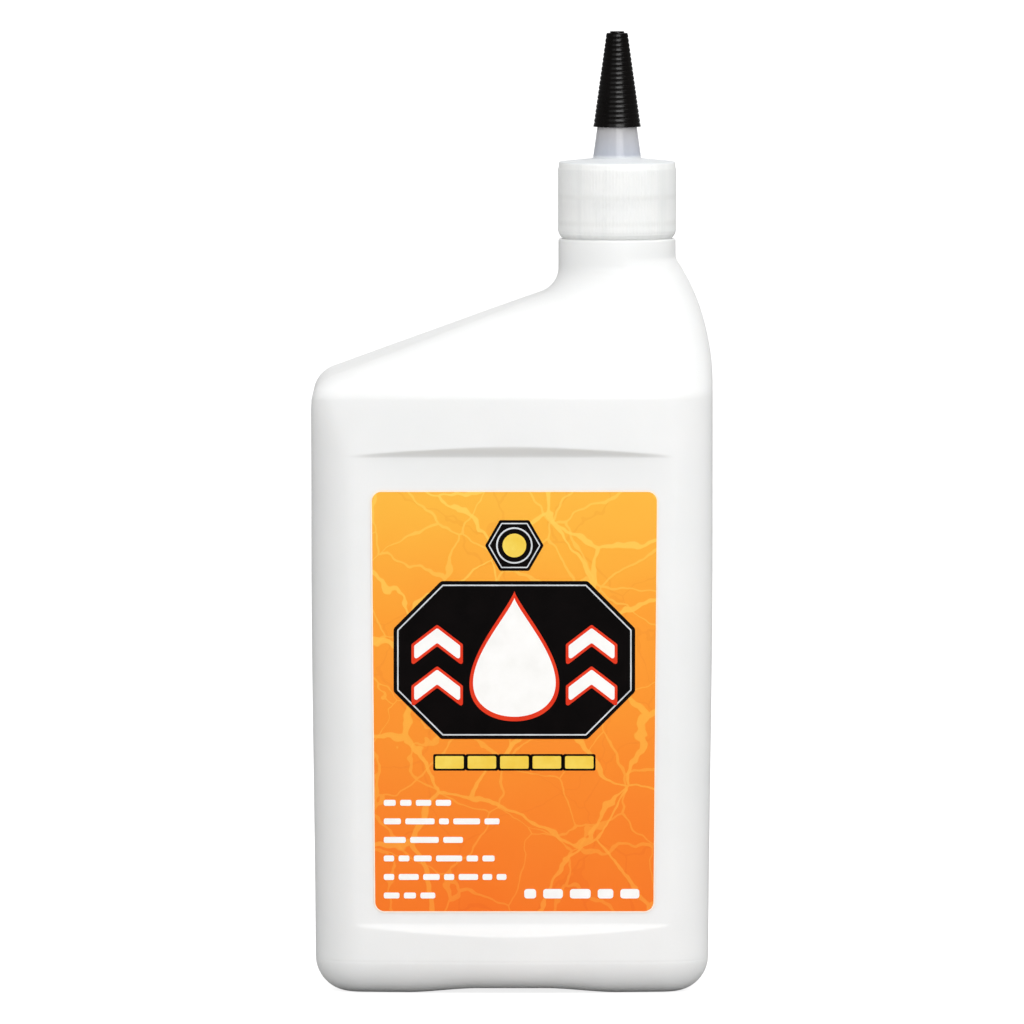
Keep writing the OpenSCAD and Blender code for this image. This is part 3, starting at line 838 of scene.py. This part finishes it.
def label_print():
    """Orange film: amber at the top, red-orange at the foot, with a paler branching net."""
    n = Nodes("label_print")
    place = n.place()
    up = n.remap(n.axis("Z"), LABEL_FOOT_Z * MM, (LABEL_FOOT_Z + LABEL_H) * MM)
    drift = n.math("ADD", up, n.math("MULTIPLY", n.math("SUBTRACT", n.noise(30, 2), 0.5), 0.25))
    ground = n.ramp(drift, [(0.0, srgb(248, 118, 32)), (0.35, srgb(250, 139, 39)),
                            (0.7, srgb(252, 159, 47)), (1.0, srgb(252, 185, 62))])
    pale = n.ramp(up, [(0.0, srgb(252, 152, 54)), (0.5, srgb(254, 180, 66)), (1.0, srgb(255, 211, 92))])
    dark = n.ramp(up, [(0.0, srgb(238, 98, 26)), (1.0, srgb(240, 156, 48))])
    broad = n.math("MULTIPLY", veins(n, place, 27 * MM, 0.9 * MM, 11 * MM, 3.1), 0.8)
    fine = n.math("MULTIPLY", veins(n, place, 17 * MM, 0.4 * MM, 9 * MM, 1.7), 0.55)
    shade = n.math("MULTIPLY", veins(n, place, 26 * MM, 0.4 * MM, 11 * MM, 5.3), 0.25)
    colour = n.blend(shade, ground, dark)
    for net in (fine, broad):
        colour = n.blend(net, colour, pale)
    n.feed("Base Color", colour)
    n.feed("Roughness", n.wander(n.noise(90), 0.32, 0.4))
    n.bump(n.noise(60), 0.1, 0.2 * MM)
    n.set(IOR=1.45, Specular_IOR_Level=0.2)
    return n.material


def ink(name, dark, light, roughness=0.42):
    """A printed colour, a little uneven."""
    n = Nodes(name)
    n.feed("Base Color", n.mottle(n.noise(220, 4), dark, light))
    n.feed("Roughness", n.wander(n.noise(90), roughness - 0.03, roughness + 0.05))
    n.bump(n.noise(60), 0.1, 0.2 * MM)
    n.set(IOR=1.45, Specular_IOR_Level=0.08)
    return n.material


# The bottle

def neck_profile():
    """The outline from the neck's foot over the ledge, thread wall and lip, and down the bore."""
    collar_z = LEDGE_Z + COLLAR_H
    join_z = RIGHT_FILLET_Z + NECK_JOIN
    return rounded([
        (NECK_R, join_z, 0), (NECK_R, LEDGE_Z, 0.5), (COLLAR_R, LEDGE_Z, 0.05), (COLLAR_R, collar_z, 0.15),
        (FINISH_R, collar_z, 0.4), (FINISH_R, LIP_Z, 0.5), (MOUTH_R, LIP_Z, 0.3),
        (MOUTH_R, LEDGE_Z - BORE_SLOPE_DROP, 1), (NECK_R - WALL, join_z + 0.1, 0)], steps=6, closed=False)


def make_bottle():
    outer = body_levels(0, 1)
    inner = body_levels(WALL, 0.25)
    neck = [round_level(r, z) for r, z in neck_profile()]
    shell = loft(outer + neck + inner[::-1])
    ridge = thread(FINISH_R - THREAD_SUNK, FINISH_R + THREAD_DEPTH, THREAD_FOOT_Z)
    made = piece("bottle_shell", [shell, ridge], "bottle", bottle_plastic(), 50)
    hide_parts("bottle")


# The cap and its tip

def spout_outer(z):
    """The spout's outer radius at a height."""
    return mix(SPOUT_R, SPOUT_END_R, (z - CAP_TOP_Z) / (SPOUT_END_Z - CAP_TOP_Z))


def rib(angle, r, z):
    """The skirt's radius: fine ribs between the two plain rims."""
    past_ribs = z < RIBS_FOOT_Z - RIB_LEVEL_GAP or z > RIBS_TOP_Z + RIB_LEVEL_GAP
    if past_ribs or r < RIB_ROOT_R - ON_WALL:
        return r
    wave = 0.5 + 0.5 * math.cos(angle * RIB_COUNT)
    fade = ramp(z, RIBS_FOOT_Z - RIB_FADE_OUT, RIBS_FOOT_Z + RIB_FADE_IN)
    fade *= 1 - ramp(z, RIBS_TOP_Z - RIB_FADE_IN, RIBS_TOP_Z + RIB_FADE_OUT)
    return r + RIB_H * mix(RIB_VALLEY, 1, wave) * fade


def cap_profile():
    """The outline of cap and spout. Its third numbers are the radii that round it."""
    bore_foot_r = SPOUT_R - SPOUT_WALL
    steps = (-RIB_FADE_OUT, (RIB_FADE_IN - RIB_FADE_OUT) / 2, RIB_FADE_IN, RIB_LEVEL_GAP)
    ribbed = [RIBS_FOOT_Z + step for step in steps] + [RIBS_TOP_Z - step for step in reversed(steps)]
    return rounded(
        [(SKIRT_IN_R, CAP_FOOT_Z, 0.15),
         (RIB_ROOT_R - SKIRT_BEVEL_IN, CAP_FOOT_Z, 0.25),
         (RIB_ROOT_R, CAP_FOOT_Z + SKIRT_BEVEL, 0.25)]
        + [(RIB_ROOT_R, z, 0) for z in ribbed]
        + [(RIB_ROOT_R, CAP_TOP_Z, 0.35),
           (spout_outer(CAP_TOP_Z + TOP_RISE), CAP_TOP_Z + TOP_RISE, 0.5),
           (SPOUT_END_R, SPOUT_END_Z, 0.3),
           (ORIFICE_R, SPOUT_END_Z, 0.15),
           (ORIFICE_R, SPOUT_END_Z - ORIFICE_H, 0.4),
           (bore_foot_r, CAP_INNER_Z + BORE_FOOT_H, 0.3),
           (bore_foot_r, CAP_INNER_Z, 0.2),
           (SKIRT_IN_R, CAP_INNER_Z, 0.3)])


def make_cap():
    skirt = lathe(cap_profile(), RIB_COUNT * RIB_POINTS, rib)
    ridge_z = THREAD_FOOT_Z - PITCH / 2 + THREAD_GAP
    ridge = thread(SKIRT_IN_R + THREAD_SUNK, FINISH_R + THREAD_GAP, ridge_z)
    made = piece("cap_and_spout", [skirt, ridge], "spout_cap", milky_plastic(), 50)
    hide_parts("spout_cap")


def tip_profile():
    """The outline of the ringed tip and its plug. Its third numbers are the radii that round it."""
    tip_inner_z = SPOUT_END_Z + TIP_GAP
    plug_z = tip_inner_z - PLUG_H
    plug_r = ORIFICE_R - TIP_GAP
    top_z = TIP_END_Z - NUB_H
    pitch = (top_z - TIP_FOOT_Z) / TIP_RINGS
    start, stop, end = RING_STOPS
    points = [(spout_outer(TIP_FOOT_Z) + TIP_GAP, TIP_FOOT_Z, 0.1)]
    for k in range(TIP_RINGS):
        z = TIP_FOOT_Z + k * pitch
        lower = spout_outer(z) + TIP_GAP + TIP_WALL
        upper = spout_outer(z + pitch) + TIP_GAP + TIP_WALL
        points += [(lower + RING_FLARE if k == 0 else lower, z, 0.1),
                   (lower + RING_BEAD, z + pitch * start, 0.3),
                   (mix(lower, upper, stop) + RING_BEAD, z + pitch * stop, 0.35),
                   (upper, z + pitch * end, 0.03)]
    points += [(NUB_R, top_z, 0.1), (NUB_R, TIP_END_Z, 0.15),
               (ON_AXIS, TIP_END_Z, 0), (ON_AXIS, plug_z, 0),
               (plug_r - PLUG_TAPER, plug_z, 0.2), (plug_r, tip_inner_z, 0.1),
               (SPOUT_END_R + TIP_GAP, tip_inner_z, 0.2)]
    return rounded(points, steps=3)


def make_tip():
    tip = lathe(tip_profile(), LATHE_POINTS)
    made = piece("ringed_tip", [tip], "tip_cap", tip_plastic(), 40)
    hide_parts("tip_cap")


# The labels: a film with printed shapes on it, each a thin layer of ink

def on_panel(outlines, side, layer, thickness):
    """The points of outlines at a layer's near and far depth. Outlines go across and up."""
    near = PANEL_Y + LABEL_T + layer * LAYER
    verts = []
    for y in (near, near + thickness):
        for loop in outlines:
            verts += [(-side * (u + LABEL_X), side * y, v + LABEL_FOOT_Z) for u, v in loop]
    return verts


def plate(outline, side, layer, thickness=LAYER):
    """A thin flat plate of a given outline."""
    n = len(outline)
    faces = [tuple(range(n)), tuple(range(2 * n - 1, n - 1, -1))]
    faces += [(i, (i + 1) % n, n + (i + 1) % n, n + i) for i in range(n)]
    return on_panel([outline], side, layer, thickness), faces


def stripe(outline, width, side, layer):
    """A closed line of even width just inside an outline."""
    n = len(outline)
    faces = []
    for i in range(n):
        j = (i + 1) % n
        faces += [(i, j, n + j, n + i), (2 * n + i, 3 * n + i, 3 * n + j, 2 * n + j),
                  (i, 2 * n + i, 2 * n + j, j), (n + i, n + j, 3 * n + j, 3 * n + i)]
    return on_panel([outline, inset_outline(outline, width)], side, layer, LAYER), faces


def inset_outline(outline, width):
    """The outline moved inwards by width. The outline runs anticlockwise."""
    n, out = len(outline), []
    for i, point in enumerate(outline):
        a = (Vector(point) - Vector(outline[i - 1])).normalized()
        b = (Vector(outline[(i + 1) % n]) - Vector(point)).normalized()
        normal = (Vector((-a.y, a.x)) + Vector((-b.y, b.x)))
        normal = normal / max(normal.length_squared / 2, 1e-6)
        out.append(tuple(Vector(point) + normal * width))
    return out


def box_outline(u0, v0, u1, v1, r=0.4):
    """An upright rectangle with rounded corners."""
    return rounded([(u0, v0), (u1, v0), (u1, v1), (u0, v1)], r)


def drop_outline(v, width, height, steps=96):
    """A pointed drop, upright, on the label's middle line at v."""
    out = []
    for k in range(steps):
        t = 2 * math.pi * (k + 0.5) / steps
        u = -width * DROP_FULLNESS * math.sin(t) * math.sin(t / 2) ** DROP_POINT
        out.append((u, v + height / 2 * math.cos(t)))
    return out


def chevron_outline(u, v, shrink):
    """An arrow head that points up, with its inner corner at (u, v), drawn in all round by shrink."""
    left, right, foot = u - HEAD_W / 2, u + HEAD_W / 2, v - HEAD_RISE
    corners = [(left, foot), (u, v), (right, foot),
               (right, foot + HEAD_STROKE), (u, v + HEAD_STROKE), (left, foot + HEAD_STROKE)]
    return rounded(inset_outline(corners, shrink), 0.5, 3)


def circle_outline(v, r):
    """A circle on the label's middle line."""
    turns = [2 * math.pi * k / CIRCLE_POINTS for k in range(CIRCLE_POINTS)]
    return [(r * math.cos(t), v + r * math.sin(t)) for t in turns]


def dashes(u0, u1, v, side, layer, height, longest):
    """A row of short rounded bars with small gaps, of chance lengths."""
    row, u = [], u0
    while u < u1 - LEAST_DASH:
        length = min(random.uniform(SHORTEST_DASH, 1) * longest, u1 - u)
        row.append(plate(box_outline(u, v, u + length, v + height, height * DASH_R), side, layer))
        u += length + height * DASH_GAP
    return row


def printed(name, parts, material):
    """A piece of a label: film or ink."""
    return piece(name, parts, "bottle", material)


def make_film(name, side, node, material, edge):
    """A label's film, which stands for its solid, and the pale line round it."""
    foot, head = (LABEL_W_TOP - LABEL_TAPER) / 2, LABEL_W_TOP / 2
    outline = rounded([(-foot, 0), (foot, 0), (head, LABEL_H), (-head, LABEL_H)], LABEL_R, 10)
    made = printed(name, [plate(outline, side, -LABEL_T / LAYER, LABEL_T)], material)
    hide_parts(node)
    printed(name + "_edge", [stripe(outline, FILM_EDGE, side, 0)], edge)


def print_badge(black, silver, red, white):
    """A black eight-sided badge with a white drop between rising arrow heads."""
    w, low_v, high_v = BADGE_HALF_W, BADGE_LOW, BADGE_HIGH
    badge = rounded([(-w + BADGE_CUT, low_v), (w - BADGE_CUT, low_v), (w, low_v + BADGE_CUT),
                     (w, high_v - BADGE_CUT), (w - BADGE_CUT, high_v), (-w + BADGE_CUT, high_v),
                     (-w, high_v - BADGE_CUT), (-w, low_v + BADGE_CUT)], BADGE_R, 5)
    middle_v = (low_v + high_v) / 2

    def heads(shrink):
        return [chevron_outline(u, middle_v + v, shrink) for u in (-HEAD_U, HEAD_U) for v in HEADS_V]

    badge_line = stripe(inset_outline(badge, BADGE_LINE_INSET), BADGE_LINE, FRONT, 2)
    drop = drop_outline(middle_v + DROP_RISE, DROP_W, DROP_H)
    inner_drop = drop_outline(middle_v + DROP_INNER_RISE, DROP_W - DROP_EDGE_W, DROP_H - DROP_EDGE_H)
    printed("front_badge", [plate(badge, FRONT, 1)], black)
    printed("front_badge_line", [badge_line], silver)
    printed("front_red", [plate(shape, FRONT, 3) for shape in [drop] + heads(0)], red)
    printed("front_white", [plate(shape, FRONT, 4) for shape in [inner_drop] + heads(HEAD_EDGE)], white)


def print_bars(black, yellow):
    """A row of yellow bars, each on its own black ground."""
    lefts = [BAR_LEFT + BAR_PITCH * k for k in range(BAR_COUNT)]

    def bars(rim, layer):
        return [plate(box_outline(u - rim, BAR_V - rim, u + BAR_W + rim, BAR_V + BAR_H + rim), FRONT, layer)
                for u in lefts]

    printed("front_bar_ground", bars(BAR_RIM, 1), black)
    printed("front_bars", bars(0, 2), yellow)


def print_nut(black, silver, yellow):
    """A hexagon nut with a ring and a round middle."""
    turns = [math.pi / 3 * k for k in range(6)]
    corners = [(NUT_R * math.cos(t), NUT_V + NUT_R * math.sin(t)) for t in turns]
    nut_line = rounded(inset_outline(corners, NUT_LINE_INSET), 0.3)
    printed("front_nut", [plate(rounded(corners, 0.6), FRONT, 1)], black)
    printed("front_nut_lines", [stripe(nut_line, FINE_LINE, FRONT, 2),
                                stripe(circle_outline(NUT_V, NUT_RING_R), NUT_RING_LINE, FRONT, 2)], silver)
    printed("front_nut_middle", [plate(circle_outline(NUT_V, NUT_MIDDLE_R), FRONT, 2)], yellow)


def print_front_rows(white):
    """Rows of small dashes at the left, and one of larger dashes at the right."""
    rows = []
    for k, width in enumerate(ROW_WIDTHS):
        row_v = PRINT_FOOT + ROW_PITCH * k
        rows += dashes(PRINT_LEFT, PRINT_LEFT + width, row_v, FRONT, 1, height=1.5, longest=7.5)
    rows += dashes(LARGE_PRINT_LEFT, PRINT_RIGHT, PRINT_FOOT, FRONT, 1, height=2.4, longest=7)
    printed("front_small_print", rows, white)


def print_back(black, white, silver, yellow):
    """A black band with yellow bars over two columns of small dashes in a frame."""
    band = box_outline(PRINT_LEFT, BACK_BAND_V[0], -PRINT_LEFT, BACK_BAND_V[1], BACK_BAND_R)
    printed("back_band", [plate(band, BACK, 1)], black)
    printed("back_band_line", [stripe(inset_outline(band, BACK_LINE_INSET), FINE_LINE, BACK, 2)], silver)
    bars = dashes(*BACK_BARS_U, BACK_BARS_V, BACK, 2, height=4, longest=16)
    printed("back_band_bars", bars, yellow)
    rows = []
    for k in range(BACK_ROWS):
        if k in BACK_EMPTY_ROWS:
            continue
        for left in BACK_COLUMNS:
            right = left + random.uniform(*BACK_COLUMN_W)
            row_v = BACK_ROWS_FOOT + BACK_ROW_PITCH * k
            rows += dashes(left, right, row_v, BACK, 1, height=1.3, longest=7)
    printed("back_small_print", rows, black)
    printed("back_frame", [stripe(box_outline(*BACK_FRAME, 1), FINE_LINE, BACK, 1)], white)


def make_labels():
    orange = label_print()
    black = ink("black_ink", (6, 3, 3), (11, 6, 6))
    white = ink("white_ink", (246, 245, 242), (253, 252, 250))
    red = ink("red_ink", (222, 50, 26), (232, 64, 34))
    silver = ink("silver_ink", (196, 200, 204), (226, 229, 232), 0.28)
    yellow = ink("yellow_ink", (240, 200, 70), (246, 216, 96))
    edge = ink("film_edge", (250, 236, 214), (253, 244, 230))
    make_film("front_film", FRONT, "front_label", orange, edge)
    make_film("back_film", BACK, "back_label", orange, edge)
    print_badge(black, silver, red, white)
    print_bars(black, yellow)
    print_nut(black, silver, yellow)
    print_front_rows(white)
    print_back(black, white, silver, yellow)


# Floor, light and camera, in metres

FLOOR_HALF = 20
FLOOR_GLOW = 0.82
FLOOR_IN_MIRRORS = (0.1, 0.1, 0.1)
WORLD_LIGHT = 0.85
MIRROR_LIGHT = 0.1
VIEW_DISTANCE = 4.0
VIEW_HEIGHT_DEG = 3.5
SEEN_WIDTH = 0.2606
AIM_Z = 0.12035
SENSOR_MM = 36
LAMP_AIM = (0, 0, 0.12)


def make_floor():
    """A pale floor that the camera sees as white, except for the object's shadow on it."""
    n = Nodes("pale_floor")
    path = n.add("LightPath")
    pale = n.ramp(n.noise(3, 2), [(NOISE_LOW, (0.44, 0.44, 0.44)), (NOISE_HIGH, (0.46, 0.46, 0.46))])
    n.feed("Base Color", n.blend(path.outputs["Is Glossy Ray"], pale, FLOOR_IN_MIRRORS))
    n.set(Roughness=0.9, Specular_IOR_Level=0.0)
    glow = n.add("Emission")
    n.put(WHITE, glow.inputs["Color"])
    seen = n.math("MAXIMUM", path.outputs["Is Camera Ray"], path.outputs["Is Transmission Ray"])
    n.link(n.math("MULTIPLY", seen, FLOOR_GLOW), glow.inputs["Strength"])
    both = n.add("AddShader")
    n.link(n.shader.outputs[0], both.inputs[0])
    n.link(glow.outputs[0], both.inputs[1])
    n.link(both.outputs[0], n.out.inputs["Surface"])
    mesh = bpy.data.meshes.new("floor")
    s = FLOOR_HALF
    mesh.from_pydata([(-s, -s, 0), (s, -s, 0), (s, s, 0), (-s, s, 0)], [], [(0, 1, 2, 3)])
    floor = bpy.data.objects.new("floor", mesh)
    bpy.context.collection.objects.link(floor)
    mesh.materials.append(n.material)


def make_world():
    """White to the camera. Glossy surfaces see little light, but for a low bright patch behind the object."""
    world = bpy.data.worlds.new("studio")
    bpy.context.scene.world = world
    world.use_nodes = True
    w = Tree(world.node_tree)
    ground = world.node_tree.nodes["Background"]
    path = w.add("LightPath")
    seen = w.math("MAXIMUM", path.outputs["Is Camera Ray"], path.outputs["Is Transmission Ray"])
    behind = w.remap(w.axis("Y", "Generated"), 0.85, 0.95)
    above = w.remap(w.axis("Z", "Generated"), 0.0, 0.05)
    in_mirrors = w.remap(w.math("MULTIPLY", behind, above), 0.0, 1.0, MIRROR_LIGHT, 1.0)
    unseen = w.remap(path.outputs["Is Glossy Ray"], 0.0, 1.0, WORLD_LIGHT, in_mirrors)
    w.link(w.remap(seen, 0.0, 1.0, unseen, 1.0), ground.inputs["Strength"])
    w.put(WHITE, ground.inputs["Color"])


def lamp(name, place, width, height, power):
    """A rectangular lamp that faces the object's middle."""
    data = bpy.data.lights.new(name, "AREA")
    data.shape = "RECTANGLE"
    data.size, data.size_y = width, height
    data.energy = power
    obj = bpy.data.objects.new(name, data)
    obj.location = place
    obj.rotation_euler = (Vector(LAMP_AIM) - Vector(place)).to_track_quat("-Z", "Y").to_euler()
    bpy.context.collection.objects.link(obj)


def make_lamps():
    lamp("key", (0.35, -1.35, 0.6), 0.95, 0.6, 7.2)
    lamp("top", (0.35, -0.2, 1.2), 0.6, 0.6, 2.7)
    lamp("fill", (-0.6, -1.2, 0.5), 0.7, 0.7, 0.7)


def make_camera():
    data = bpy.data.cameras.new("camera")
    data.sensor_width = SENSOR_MM
    data.lens = SENSOR_MM * VIEW_DISTANCE / SEEN_WIDTH
    data.clip_start, data.clip_end = 0.1, 100
    camera = bpy.data.objects.new("camera", data)
    tilt = math.radians(VIEW_HEIGHT_DEG)
    camera.location = (0, -VIEW_DISTANCE * math.cos(tilt), AIM_Z + VIEW_DISTANCE * math.sin(tilt))
    camera.rotation_euler = (math.pi / 2 - tilt, 0, 0)
    bpy.context.collection.objects.link(camera)
    bpy.context.scene.camera = camera


def dress_carried_nodes():
    for node, material in (("oil", amber_oil()), ("cap_liner", foam())):
        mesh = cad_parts[node].data
        mesh.materials.clear()
        mesh.materials.append(material)


make_bottle()
make_cap()
make_tip()
make_labels()
dress_carried_nodes()
make_floor()
make_world()
make_lamps()
make_camera()
bpy.context.scene.view_settings.view_transform = "Standard"
